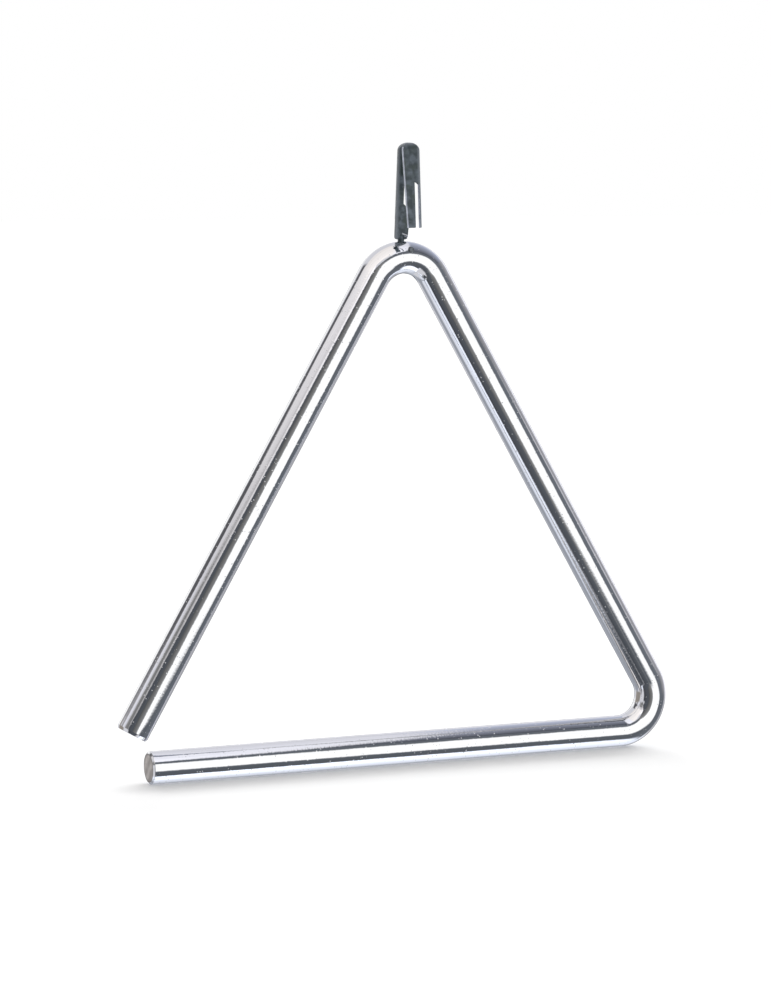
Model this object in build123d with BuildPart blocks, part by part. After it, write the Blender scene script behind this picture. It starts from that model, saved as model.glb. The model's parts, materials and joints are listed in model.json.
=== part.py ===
"""A musical triangle: a bent chromed rod, open at one corner, below a black swivelling hook.

Millimetres, +Z up. The origin is the centre of the hook's fold, where a cord or wire carries it.
X runs along the triangle's base, and -Y is the front. The rod hangs in a plane behind the origin.
"""

import math
import os

from build123d import *

os.makedirs("parts", exist_ok=True)

# The bent rod
rod_diameter = 8.0
side_length = 150.0  # between the crossings of the rod's centre lines
bend_radius = 9.0  # of the rod's centre line
leg_setback = 9.7  # from the open corner's crossing to the end of the leg
bar_setback = 9.0  # from the open corner's crossing to the end of the bar
leg_chamfer_length = 0.75  # along the leg
leg_chamfer_depth = 0.35  # into the leg
bar_chamfer = 0.45

# The hook's strip
strip_thickness = 0.95
strip_top_width = 4.3
strip_foot_width = 3.2
fold_inner_radius = 0.9
hanger_height = 23.75  # of the hook's top above the rod
front_foot_height = 3.4  # of the front leg's end above the rod
back_foot_height = 0.4  # of the back leg's end above the rod
rod_plane_setback = 4.65  # of the rod's plane behind the fold's centre
apex_offset = 0.6  # of the apex's middle to the right of the hook's
front_foot_reach = 3.85  # of the front leg's end before the fold's centre
foot_corner_radius = 0.7
shoulder_radius = 2.0

# The slots in the hook's legs
slot_width = 1.15
slot_slant = 0.9  # rise of a slot's end across its width
front_tine_width = 0.36
front_slot_length = 11.2  # up from the front leg's end
back_strand_width = 1.78
back_slot_start = 9.0  # above the rod
back_slot_end = 18.0  # above the rod

# The stem and its pin
stem_diameter = 1.6
stem_length = 3.2  # below the rod's top
stem_root_rise = 1.4  # of the stem into the back leg
stem_tip_chamfer = 0.2
groove_diameter = 0.9
pin_diameter = 1.4
pin_depth = 2.0  # of the pin's axis below the rod's top
pin_stand = 0.1  # of the pin's ends past the rod's surface at the pin's lower side
pin_chamfer = 0.12
running_clearance = 0.05
stem_end_clearance = 0.2

overrun = 1.0  # of cuts past the faces they open

# Places that follow from the sizes
rod_radius = rod_diameter / 2
corner_half_angle = 30
side_angle = 2 * corner_half_angle
fold_mean_radius = fold_inner_radius + strip_thickness / 2
fold_outer_radius = fold_inner_radius + strip_thickness
rod_top_z = fold_outer_radius - hanger_height
corner_overshoot = bend_radius / math.sin(math.radians(corner_half_angle)) - bend_radius
apex_z = rod_top_z - rod_radius + corner_overshoot
base_z = apex_z - side_length * math.sin(math.radians(side_angle))
front_foot_z = rod_top_z + front_foot_height
back_foot_z = rod_top_z + back_foot_height
stem_radius = stem_diameter / 2
groove_radius = groove_diameter / 2
pin_radius = pin_diameter / 2
pin_z = rod_top_z - pin_depth
pin_x = groove_radius + running_clearance + pin_radius
pin_lower_side = rod_radius - pin_depth - pin_radius  # above the rod's centre line
pin_reach = math.sqrt(rod_radius**2 - pin_lower_side**2) + pin_stand


def fold_tangent(foot_y, foot_z, turn):
    """The point where a straight leg from its foot meets the fold's arc, on the side that turn names."""
    reach = math.hypot(foot_y, foot_z)
    angle = math.atan2(foot_z, foot_y) + turn * math.acos(fold_mean_radius / reach)
    return (fold_mean_radius * math.cos(angle), fold_mean_radius * math.sin(angle))


def strip_half_width(z):
    """Half the strip's width at a height, which narrows evenly from the fold to the back leg's foot."""
    fall_share = (fold_outer_radius - z) / (fold_outer_radius - back_foot_z)
    return (strip_top_width + (strip_foot_width - strip_top_width) * fall_share) / 2


# The rod lies in a plane behind the fold
rod_plane = Plane.XZ.offset(-rod_plane_setback)
half_side = side_length / 2
leg_run_x = leg_setback * math.cos(math.radians(side_angle))
leg_run_z = leg_setback * math.sin(math.radians(side_angle))

with BuildPart() as triangle_rod:
    with BuildLine(rod_plane) as rod_path:
        FilletPolyline(
            (apex_offset - half_side + leg_run_x, base_z + leg_run_z),
            (apex_offset, apex_z),
            (apex_offset + half_side, base_z),
            (apex_offset - half_side + bar_setback, base_z),
            radius=bend_radius,
        )
    with BuildSketch(Plane(origin=rod_path.line @ 0, z_dir=rod_path.line % 0)):
        Circle(rod_radius)
    sweep()
    bar_face = triangle_rod.faces().filter_by(GeomType.PLANE).sort_by(Axis.Z)[0]
    chamfer(bar_face.edges(), length=bar_chamfer)
    leg_face = triangle_rod.faces().filter_by(GeomType.PLANE).sort_by(Axis.Z)[-1]
    chamfer(leg_face.edges(), length=leg_chamfer_depth, length2=leg_chamfer_length, reference=leg_face)
    # The stem's blind hole, from above the rod's top
    with BuildSketch(Plane.XY.offset(rod_top_z + overrun)):
        with Locations((0, rod_plane_setback)):
            Circle(stem_radius + running_clearance)
    extrude(amount=-(overrun + stem_length + stem_end_clearance), mode=Mode.SUBTRACT)
    # The pin's cross hole, beside the stem
    with BuildSketch(rod_plane):
        with Locations((pin_x, pin_z)):
            Circle(pin_radius)
    extrude(amount=rod_radius + overrun, both=True, mode=Mode.SUBTRACT)

triangle_rod.part.label = "triangle_rod"
export_step(triangle_rod.part, "parts/triangle_rod.step")

# The hook's side view is one bent strip, and its front view narrows towards the feet
back_tangent = fold_tangent(rod_plane_setback, back_foot_z, 1)
front_tangent = fold_tangent(-front_foot_reach, front_foot_z, -1)
strip_plane = Plane(origin=(0, 0, 0), x_dir=(0, 1, 0), z_dir=(1, 0, 0))

with BuildPart() as hanger_hook:
    with BuildSketch(strip_plane):
        with BuildLine() as strip_line:
            Line((rod_plane_setback, back_foot_z), back_tangent)
            ThreePointArc(back_tangent, (0, fold_mean_radius), front_tangent)
            Line(front_tangent, (-front_foot_reach, front_foot_z))
        trace(strip_line.line, line_width=strip_thickness)
    extrude(amount=strip_top_width, both=True)
    # The narrowing sides and the back leg's rounded foot
    with BuildSketch(Plane.XZ):
        with BuildLine():
            Polyline(
                (-strip_half_width(fold_outer_radius), fold_outer_radius),
                (-strip_half_width(back_foot_z), back_foot_z),
                (strip_half_width(back_foot_z), back_foot_z),
                (strip_half_width(fold_outer_radius), fold_outer_radius),
                close=True,
            )
        outline = make_face()
        fillet(outline.vertices().group_by(Axis.Y)[0], radius=foot_corner_radius)
        fillet(outline.vertices().group_by(Axis.Y)[-1], radius=shoulder_radius)
    extrude(amount=rod_plane_setback + rod_diameter, both=True, mode=Mode.INTERSECT)
    # The front leg's slot is open at the leg's end and follows the strip's right side
    slot_foot = front_foot_z - overrun
    slot_top = front_foot_z + front_slot_length
    foot_tine_x = strip_half_width(slot_foot) - front_tine_width
    top_tine_x = strip_half_width(slot_top) - front_tine_width
    with BuildSketch(Plane.XZ):
        with BuildLine():
            Polyline(
                (foot_tine_x - slot_width, slot_foot),
                (foot_tine_x, slot_foot),
                (top_tine_x, slot_top - slot_slant),
                (top_tine_x - slot_width, slot_top),
                close=True,
            )
        make_face()
    extrude(amount=front_foot_reach + strip_thickness + overrun, mode=Mode.SUBTRACT)
    # The back leg's slot is closed at both ends and follows the strip's left side
    slot_start = rod_top_z + back_slot_start
    slot_end = rod_top_z + back_slot_end
    start_strand_x = back_strand_width - strip_half_width(slot_start)
    end_strand_x = back_strand_width - strip_half_width(slot_end)
    with BuildSketch(Plane.XZ):
        with BuildLine():
            Polyline(
                (start_strand_x, slot_start),
                (start_strand_x + slot_width, slot_start - slot_slant),
                (end_strand_x + slot_width, slot_end - slot_slant),
                (end_strand_x, slot_end),
                close=True,
            )
        make_face()
    extrude(amount=-(rod_plane_setback + strip_thickness + overrun), mode=Mode.SUBTRACT)
    # The stem below the back leg, with a groove for the pin
    with BuildSketch(Plane.XY.offset(rod_top_z - stem_length)):
        with Locations((0, rod_plane_setback)):
            Circle(stem_radius)
    extrude(amount=stem_length + back_foot_height + stem_root_rise)
    chamfer(hanger_hook.edges().filter_by(GeomType.CIRCLE).group_by(Axis.Z)[0], length=stem_tip_chamfer)
    with BuildSketch(Plane.XY.offset(pin_z)):
        with Locations((0, rod_plane_setback)):
            Circle(stem_diameter)
            Circle(groove_radius, mode=Mode.SUBTRACT)
    extrude(amount=pin_radius + running_clearance, both=True, mode=Mode.SUBTRACT)

hanger_hook.part.label = "hanger_hook"
export_step(hanger_hook.part, "parts/hanger_hook.step")

with BuildPart() as retaining_pin:
    with BuildSketch(rod_plane):
        with Locations((pin_x, pin_z)):
            Circle(pin_radius)
    extrude(amount=pin_reach, both=True)
    chamfer(retaining_pin.edges().filter_by(GeomType.CIRCLE), length=pin_chamfer)

retaining_pin.part.label = "retaining_pin"
export_step(retaining_pin.part, "parts/retaining_pin.step")
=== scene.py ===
"""The looks of a musical triangle: a bent chromed rod, a black swivelling hook and the hook's pin.

Metres, +Z up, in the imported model's own frame. The origin is the centre of the hook's fold, -Y is the
front, and the rod hangs in a plane behind the origin.
"""

import json
import logging
import math
from collections.abc import Callable, Iterator, Mapping, Sequence
from contextlib import contextmanager
from dataclasses import dataclass
from enum import Enum, IntEnum
from typing import Any, Protocol

import bmesh
import bpy
from mathutils import Matrix, Vector


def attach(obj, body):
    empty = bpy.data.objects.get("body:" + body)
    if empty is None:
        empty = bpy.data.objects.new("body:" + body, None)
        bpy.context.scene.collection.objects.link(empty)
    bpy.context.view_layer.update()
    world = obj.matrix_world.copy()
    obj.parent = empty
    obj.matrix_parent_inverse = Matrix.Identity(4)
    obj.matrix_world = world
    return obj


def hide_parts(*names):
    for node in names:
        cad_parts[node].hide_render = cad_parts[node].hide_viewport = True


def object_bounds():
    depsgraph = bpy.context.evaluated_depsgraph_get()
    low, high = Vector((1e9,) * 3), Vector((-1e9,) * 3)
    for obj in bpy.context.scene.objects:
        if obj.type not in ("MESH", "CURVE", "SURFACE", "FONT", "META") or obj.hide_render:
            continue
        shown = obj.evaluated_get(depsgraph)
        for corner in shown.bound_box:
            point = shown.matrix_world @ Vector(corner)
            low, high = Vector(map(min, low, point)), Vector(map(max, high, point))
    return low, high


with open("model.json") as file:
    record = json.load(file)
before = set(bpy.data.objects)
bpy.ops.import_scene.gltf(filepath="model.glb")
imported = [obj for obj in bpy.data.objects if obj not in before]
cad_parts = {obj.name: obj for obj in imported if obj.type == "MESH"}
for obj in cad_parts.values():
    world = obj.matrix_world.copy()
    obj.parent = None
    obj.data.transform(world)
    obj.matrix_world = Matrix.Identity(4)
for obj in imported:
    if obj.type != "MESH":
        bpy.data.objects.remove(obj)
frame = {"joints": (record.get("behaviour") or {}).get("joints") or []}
cad_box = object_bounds()

log = logging.getLogger("triangle")

Colour = tuple[float, float, float]
Span = tuple[float, float]
Socket = bpy.types.NodeSocket

right = Vector((1, 0, 0))
up = Vector((0, 0, 1))
back = Vector((0, 1, 0))
cross_turn = (math.pi / 2, 0, 0)  # stands a level ring upright, across the rod's plane
half_turn = 180  # degrees
soft_crease = 30  # degrees
far_off = 1.0  # well outside the object, for marks that a finish doesn't have
unbent_place = "unbent_place"  # the mesh attribute with each corner's place on the unbent rod


class Body(Enum):
    """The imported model's bodies, which the pieces ride on."""

    HANGER = "hanger"
    TRIANGLE = "triangle"


class Slot(Enum):
    """The record's material slots."""

    CHROMED_ROD = "chromed_rod"
    BLACK_HOOK = "black_hook"
    PIN_STEEL = "pin_steel"


class RodFinish(IntEnum):
    """The rod's finishes, by their numbers on its mesh."""

    CHROME = 0
    BAR_END = 1
    LEG_END = 2


class HookFinish(IntEnum):
    """The hook's finishes, by their numbers on its mesh."""

    BLACK = 0
    # The edges' paler finish is a painted highlight
    WORN_EDGE = 1
    # The front leg's cut sides and the crease carry a painted highlight
    BARE_SIDE = 2


class Element(Enum):
    """The parts of an edit mesh that can be selected, with Blender's name of each select mode."""

    VERTS = "VERT"
    EDGES = "EDGE"


class Cut(Enum):
    """What a tool shape does to a piece, by Blender's name."""

    ADD = "UNION"
    REMOVE = "DIFFERENCE"
    KEEP = "INTERSECT"


class Tint(Enum):
    """Colour casts of the things that the chrome mirrors."""

    NEUTRAL = (1.0, 1.0, 1.0)
    WARM = (1.05, 1.0, 0.975)
    ROSE = (1.03, 1.0, 1.02)
    LAVENDER = (1.0, 1.0, 1.08)
    COOL = (0.95, 1.0, 1.12)
    BLUE = (0.94, 1.0, 1.23)
    SLATE = (0.91, 1.0, 1.15)
    BROWN = (1.1, 1.0, 0.9)


class Chart(Enum):
    """How a place on the mirrored dome is measured."""

    WALL = "azimuth from the front and elevation, in degrees"
    CEILING = "Y and X as shares of the height"


class Fade(Enum):
    """Which way a patch of the mirrored dome changes its level."""

    ACROSS = "from its left to its right"
    UPWARDS = "from its lower to its upper edge"


def clear_selection() -> None:
    """Deselects every object, because an operator acts on all that is selected."""
    bpy.ops.object.select_all(action="DESELECT")


def start_piece(name: str) -> bpy.types.Object:
    """Names the primitive that was just added and puts its place, turn and size into its mesh.

    Args:
        name: The piece's name.

    Returns:
        The piece, with its object at the origin.
    """
    piece = bpy.context.object
    piece.name = name
    piece.data.name = name
    bpy.ops.object.transform_apply(location=True, rotation=True, scale=True)
    return piece


@contextmanager
def editing(piece: bpy.types.Object) -> Iterator[bmesh.types.BMesh]:
    """Opens a piece in edit mode.

    Args:
        piece: The piece to edit.

    Yields:
        The edit mesh, for selecting by place or normal.
    """
    clear_selection()
    piece.select_set(True)
    bpy.context.view_layer.objects.active = piece
    bpy.ops.object.mode_set(mode="EDIT")
    try:
        yield bmesh.from_edit_mesh(piece.data)
    finally:
        bpy.ops.object.mode_set(mode="OBJECT")


def select_where(
    piece: bpy.types.Object, mesh: bmesh.types.BMesh, kind: Element, test: Callable[[Any], bool]
) -> None:
    """Selects the elements of an edit mesh that pass a test, and nothing else.

    Args:
        piece: The piece that is being edited.
        mesh: Its edit mesh.
        kind: Which elements are tested.
        test: Says whether an element is selected.
    """
    bpy.ops.mesh.select_mode(type=kind.value)
    bpy.ops.mesh.select_all(action="DESELECT")
    for element in getattr(mesh, kind.name.lower()):
        element.select_set(test(element))
    bmesh.update_edit_mesh(piece.data)


def apply_modifier(piece: bpy.types.Object, kind: str, **settings: Any) -> None:
    """Adds a modifier to a piece and applies it.

    Args:
        piece: The piece to change.
        kind: Blender's type name of the modifier.
        **settings: The modifier's properties.
    """
    clear_selection()
    piece.select_set(True)
    bpy.context.view_layer.objects.active = piece
    modifier = piece.modifiers.new(kind.lower(), kind)
    for name, value in settings.items():
        setattr(modifier, name, value)
    bpy.ops.object.modifier_apply(modifier=modifier.name)


def round_edges(
    piece: bpy.types.Object, width: float, segments: int, corner: float = soft_crease, finish: int = -1
) -> None:
    """Rounds a piece's sharp edges.

    Args:
        piece: The piece to round.
        width: The rounding's width.
        segments: Into how many steps it's divided.
        corner: The angle, in degrees, past which an edge is rounded.
        finish: The number of the finish that the roundings get, or -1 for that of the faces beside them.
    """
    apply_modifier(
        piece,
        "BEVEL",
        width=width,
        segments=segments,
        limit_method="ANGLE",
        angle_limit=math.radians(corner),
        material=finish,
    )


def combine(piece: bpy.types.Object, tool: bpy.types.Object, cut: Cut) -> None:
    """Adds a tool shape to a piece, or cuts or trims the piece with it, and removes the tool.

    Args:
        piece: The piece to change.
        tool: The closed shape to combine it with.
        cut: What the tool does.
    """
    apply_modifier(piece, "BOOLEAN", object=tool, operation=cut.value, solver="EXACT")
    bpy.data.objects.remove(tool, do_unlink=True)


def smooth_outside(piece: bpy.types.Object, crease: float = soft_crease) -> None:
    """Points a piece's faces outwards and shades it smooth, but for edges sharper than a crease.

    Args:
        piece: The piece to finish.
        crease: The angle, in degrees, past which an edge stays sharp.
    """
    with editing(piece):
        bpy.ops.mesh.select_all(action="SELECT")
        bpy.ops.mesh.normals_make_consistent(inside=False)
    bpy.ops.object.shade_smooth_by_angle(angle=math.radians(crease))


class RingSweep:
    """A ring of edges that is drawn along a path by extruding, spinning and resizing it."""

    def __init__(self, piece: bpy.types.Object, centre: Vector) -> None:
        """Takes the ring that the piece consists of.

        Args:
            piece: The piece, which so far is one closed ring of edges.
            centre: The ring's centre.
        """
        self.piece = piece
        self.centre = centre.copy()

    def straight(self, run: Vector, growth_share: float = 1) -> None:
        """Draws the ring along a straight run.

        Args:
            run: The way to go, as a vector.
            growth_share: The ring's size at the end, as a share of its size before.
        """
        bpy.ops.mesh.extrude_region_move(TRANSFORM_OT_translate={"value": run})
        self.centre += run
        if growth_share != 1:
            bpy.ops.transform.resize(value=(growth_share,) * 3, center_override=self.centre)

    def turn(self, pivot: Vector, axis: Vector, angle: float, steps: int) -> None:
        """Draws the ring round a bend.

        Args:
            pivot: The bend's centre.
            axis: The axis that the ring turns about, by the right-hand rule.
            angle: How far it turns, in radians.
            steps: Into how many steps the bend is divided.
        """
        # Blender's spin turns against the right-hand rule
        bpy.ops.mesh.spin(steps=steps, angle=-angle, center=pivot, axis=axis)
        self.centre = pivot + Matrix.Rotation(angle, 3, axis) @ (self.centre - pivot)

    def close(self) -> None:
        """Fills both open ends."""
        bpy.ops.mesh.select_all(action="SELECT")
        bpy.ops.mesh.fill_holes(sides=0)


@contextmanager
def sweeping(
    name: str, centre: Vector, radius: float, sides: int, turn: Sequence[float] = (0, 0, 0)
) -> Iterator[RingSweep]:
    """Starts a round piece as a ring and opens it for sweeping, then closes its ends.

    Args:
        name: The piece's name.
        centre: The first ring's centre.
        radius: The first ring's radius.
        sides: How many edges the ring has.
        turn: The ring's turn about X, Y and Z, from one that faces up.

    Yields:
        The sweep.
    """
    clear_selection()
    bpy.ops.mesh.primitive_circle_add(
        vertices=sides, radius=radius, fill_type="NOTHING", location=centre, rotation=turn
    )
    piece = start_piece(name)
    with editing(piece):
        bpy.ops.mesh.select_all(action="SELECT")
        sweep = RingSweep(piece, centre)
        yield sweep
        sweep.close()
    smooth_outside(piece)


def prism(name: str, corners: Sequence[Span], front_y: float, back_y: float) -> bpy.types.Object:
    """Makes a prism that runs from front to back.

    Args:
        name: The piece's name.
        corners: The X and Z of the section's corners, in order round it.
        front_y: The Y of its front face.
        back_y: The Y of its back face.

    Returns:
        The prism.
    """
    depth = back_y - front_y
    clear_selection()
    bpy.ops.mesh.primitive_circle_add(vertices=len(corners), radius=depth, fill_type="NGON")
    piece = start_piece(name)
    with editing(piece) as mesh:
        mesh.verts.ensure_lookup_table()
        for index, (x, z) in enumerate(corners):
            select_where(piece, mesh, Element.VERTS, lambda corner, index=index: corner.index == index)
            bpy.ops.transform.translate(value=Vector((x, front_y, z)) - mesh.verts[index].co)
        bpy.ops.mesh.select_all(action="SELECT")
        bpy.ops.mesh.extrude_region_move(TRANSFORM_OT_translate={"value": back * depth})
        bpy.ops.mesh.select_all(action="SELECT")
        bpy.ops.mesh.normals_make_consistent(inside=False)
    return piece


class NodeSheet:
    """A node tree with short calls that add a node and join its sockets."""

    def __init__(self, tree: bpy.types.NodeTree) -> None:
        """Clears a tree and takes it.

        Args:
            tree: The node tree of a material or of the world.
        """
        self.tree = tree
        tree.nodes.clear()

    def add(
        self, kind: str, inputs: Mapping[str | int, Any] | None = None, **settings: Any
    ) -> bpy.types.Node:
        """Adds a node.

        Args:
            kind: Blender's type name of the node, without its ShaderNode prefix.
            inputs: What goes into its sockets, by name or number: another node's socket or a constant.
            **settings: The node's properties.

        Returns:
            The node.
        """
        node = self.tree.nodes.new("ShaderNode" + kind)
        for name, value in settings.items():
            setattr(node, name, value)
        for name, value in (inputs or {}).items():
            if isinstance(value, Socket):
                self.tree.links.new(value, node.inputs[name])
            else:
                node.inputs[name].default_value = value
        return node

    def noise(self, place: Socket, grain: float, detail: float = 2) -> Socket:
        """Adds a noise pattern whose lumps are about one grain across.

        Args:
            place: The coordinates to read.
            grain: The lumps' size.
            detail: How many finer layers it has.

        Returns:
            The noise, from 0 to 1.
        """
        return self.add("TexNoise", {"Vector": place, "Scale": 1 / grain, "Detail": detail}).outputs["Fac"]

    def spread(self, value: Socket, source: Span, target: Span = (0, 1), smooth: bool = False) -> Socket:
        """Maps a value from one range to another, without going past its ends.

        Args:
            value: The value to map.
            source: The range it comes from.
            target: The range it goes to.
            smooth: Whether it eases in and out.

        Returns:
            The mapped value.
        """
        inputs = {
            "Value": value,
            "From Min": source[0],
            "From Max": source[1],
            "To Min": target[0],
            "To Max": target[1],
        }
        kind = "SMOOTHSTEP" if smooth else "LINEAR"
        return self.add("MapRange", inputs, interpolation_type=kind).outputs["Result"]

    def blend(self, share: Socket, first: Socket | Colour, second: Socket | Colour) -> Socket:
        """Blends two colours.

        Args:
            share: The second colour's share.
            first: The first colour, as a socket or a constant.
            second: The second colour, as a socket or a constant.

        Returns:
            The blended colour.
        """
        colours = [value if isinstance(value, Socket) else (*value, 1) for value in (first, second)]
        # A mix node of colours takes them at its sockets 6 and 7 and gives its socket 2
        return self.add("Mix", {0: share, 6: colours[0], 7: colours[1]}, data_type="RGBA").outputs[2]

    def maths(self, operation: str, *values: Socket | float) -> Socket:
        """Adds a sum of one, two or three values.

        Args:
            operation: Blender's name of the sum, such as ADD or MULTIPLY.
            *values: Sockets or numbers.

        Returns:
            The result.
        """
        return self.add("Math", dict(enumerate(values)), operation=operation).outputs[0]

    def stretch(self, place: Socket, shares: Sequence[float]) -> Socket:
        """Stretches coordinates along their three axes.

        Args:
            place: The coordinates.
            shares: What each is multiplied by.

        Returns:
            The stretched coordinates.
        """
        return self.add("VectorMath", {0: place, 1: shares}, operation="MULTIPLY").outputs[0]

    def bump(self, height: Socket, depth: float, below: Socket | None = None) -> Socket:
        """Adds a bump of a real depth.

        Args:
            height: The relief, from 0 to 1.
            depth: How deep it is; less than 0 for pits.
            below: The normal that it's added to, if there is one already.

        Returns:
            The bumped normal.
        """
        inputs = {"Height": height, "Strength": 1.0, "Distance": abs(depth)}
        if below is not None:
            inputs["Normal"] = below
        return self.add("Bump", inputs, invert=depth < 0).outputs["Normal"]

    def finish(self, surface: Mapping[str, Any]) -> None:
        """Ends a material with a principled surface.

        Args:
            surface: What goes into the surface's sockets.
        """
        shader = self.add("BsdfPrincipled", surface)
        self.add("OutputMaterial", {"Surface": shader.outputs[0]})


def new_material(name: str) -> tuple[bpy.types.Material, NodeSheet]:
    """Makes an empty node material.

    Args:
        name: The material's name.

    Returns:
        The material and its node sheet.
    """
    material = bpy.data.materials.new(name)
    material.use_nodes = True
    return material, NodeSheet(material.node_tree)


class Finish(Protocol):
    """Anything that makes a material."""

    def material(self) -> bpy.types.Material:
        """Makes the material."""


def coat(piece: bpy.types.Object, *finishes: Finish) -> None:
    """Gives a piece its finishes, of which the first is on all faces until they get another.

    Args:
        piece: The piece to coat.
        *finishes: The finishes, in the order of their numbers.
    """
    piece.data.materials.clear()
    for finish in finishes:
        piece.data.materials.append(finish.material())


@dataclass(frozen=True)
class ChromePlate:
    """Bright chrome plate, with fine lines and ripples along the rod, smears, a faint peel and specks."""

    bright: Colour = (0.88, 0.885, 0.9)
    dull: Colour = (0.8, 0.805, 0.825)
    speck_colour: Colour = (0.86, 0.86, 0.88)
    clean_roughness: float = 0.02
    smear_roughness: float = 0.05
    line_width: float = 0.00011
    line_stretch_share: float = 0.008
    line_shares: Span = (0.4, 0.72)
    ripple_width: float = 0.0011
    ripple_stretch_share: float = 0.16
    ripple_depth: float = 0.000011
    smear_grain: float = 0.012
    smear_detail: float = 4
    smear_shares: Span = (0.4, 0.75)
    speck_spacing: float = 0.0009
    speck_reach_share: float = 0.23
    speck_depth: float = 0.00002
    speckled_patch_grain: float = 0.0045
    speckled_patch_shares: Span = (0.44, 0.54)
    peel_grain: float = 0.0006
    peel_depth: float = 0.000008

    def material(self) -> bpy.types.Material:
        """Makes the material.

        Returns:
            The chrome.
        """
        material, sheet = new_material("chrome_plate")
        place = sheet.add("TexCoord").outputs["Object"]
        unbent = sheet.add("Attribute", attribute_name=unbent_place).outputs["Vector"]
        lines = sheet.noise(sheet.stretch(unbent, (1, 1, self.line_stretch_share)), self.line_width)
        ripple = sheet.noise(sheet.stretch(unbent, (1, 1, self.ripple_stretch_share)), self.ripple_width)
        smear = sheet.noise(place, self.smear_grain, self.smear_detail)
        patch = sheet.noise(place, self.speckled_patch_grain)
        cells = {"Vector": place, "Scale": 1 / self.speck_spacing}
        spots = sheet.add("TexVoronoi", cells).outputs["Distance"]
        speck = sheet.spread(spots, (0, self.speck_reach_share), (1, 0), smooth=True)
        speck = sheet.maths("MULTIPLY", speck, sheet.spread(patch, self.speckled_patch_shares))
        plate = sheet.blend(sheet.spread(lines, self.line_shares), self.bright, self.dull)
        rippled = sheet.bump(ripple, self.ripple_depth)
        peeled = sheet.bump(sheet.noise(place, self.peel_grain), self.peel_depth, rippled)
        roughness = (self.clean_roughness, self.smear_roughness)
        sheet.finish(
            {
                "Base Color": sheet.blend(speck, plate, self.speck_colour),
                "Metallic": sheet.spread(speck, (0, 1), (1, 0)),
                "Roughness": sheet.spread(smear, self.smear_shares, roughness),
                "Normal": sheet.bump(speck, self.speck_depth, peeled),
            }
        )
        return material


@dataclass(frozen=True)
class SawnSteel:
    """Bare steel of one of the rod's ends, with fine cutting lines and a tone of its own round its rim."""

    name: str
    centre: Vector
    radius: float
    pale: Colour = (0.62, 0.585, 0.565)
    dark: Colour = (0.33, 0.3, 0.285)
    end_rim_colour: Colour = (0.1, 0.092, 0.088)
    end_rim_shares: Span = (0.84, 1.0)
    line_width: float = 0.00035
    line_share: float = 0.3
    lines_per_wave: float = 20
    line_wobble: float = 1.6
    line_detail: float = 2
    blotch_grain: float = 0.0012
    blotch_detail: float = 3
    tone_shares: Span = (0.3, 0.7)
    line_depth: float = 0.00002
    metallic: float = 0.35
    polished_roughness: float = 0.38
    dull_roughness: float = 0.6

    def material(self) -> bpy.types.Material:
        """Makes the material.

        Returns:
            The sawn steel.
        """
        material, sheet = new_material(self.name)
        place = sheet.add("TexCoord").outputs["Object"]
        scale = 1 / (self.lines_per_wave * self.line_width)
        wave = {
            "Vector": place,
            "Scale": scale,
            "Distortion": self.line_wobble,
            "Detail": self.line_detail,
        }
        lines = sheet.add("TexWave", wave, bands_direction="DIAGONAL").outputs["Fac"]
        blotch = sheet.noise(place, self.blotch_grain, self.blotch_detail)
        line_part = sheet.maths("MULTIPLY", lines, self.line_share)
        blotch_part = sheet.maths("MULTIPLY", blotch, 1 - self.line_share)
        tone = sheet.spread(sheet.maths("ADD", line_part, blotch_part), self.tone_shares)
        steel = sheet.blend(tone, self.dark, self.pale)
        out = sheet.add("VectorMath", {0: place, 1: self.centre}, operation="DISTANCE").outputs["Value"]
        # The end face takes another colour near its rim: darker on the bar's end, paler on the leg's
        at_end_rim = sheet.spread(out, tuple(share * self.radius for share in self.end_rim_shares))
        sheet.finish(
            {
                "Base Color": sheet.blend(at_end_rim, steel, self.end_rim_colour),
                "Metallic": self.metallic,
                "Roughness": sheet.spread(tone, (0, 1), (self.polished_roughness, self.dull_roughness)),
                "Normal": sheet.bump(lines, self.line_depth),
            }
        )
        return material


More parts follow.
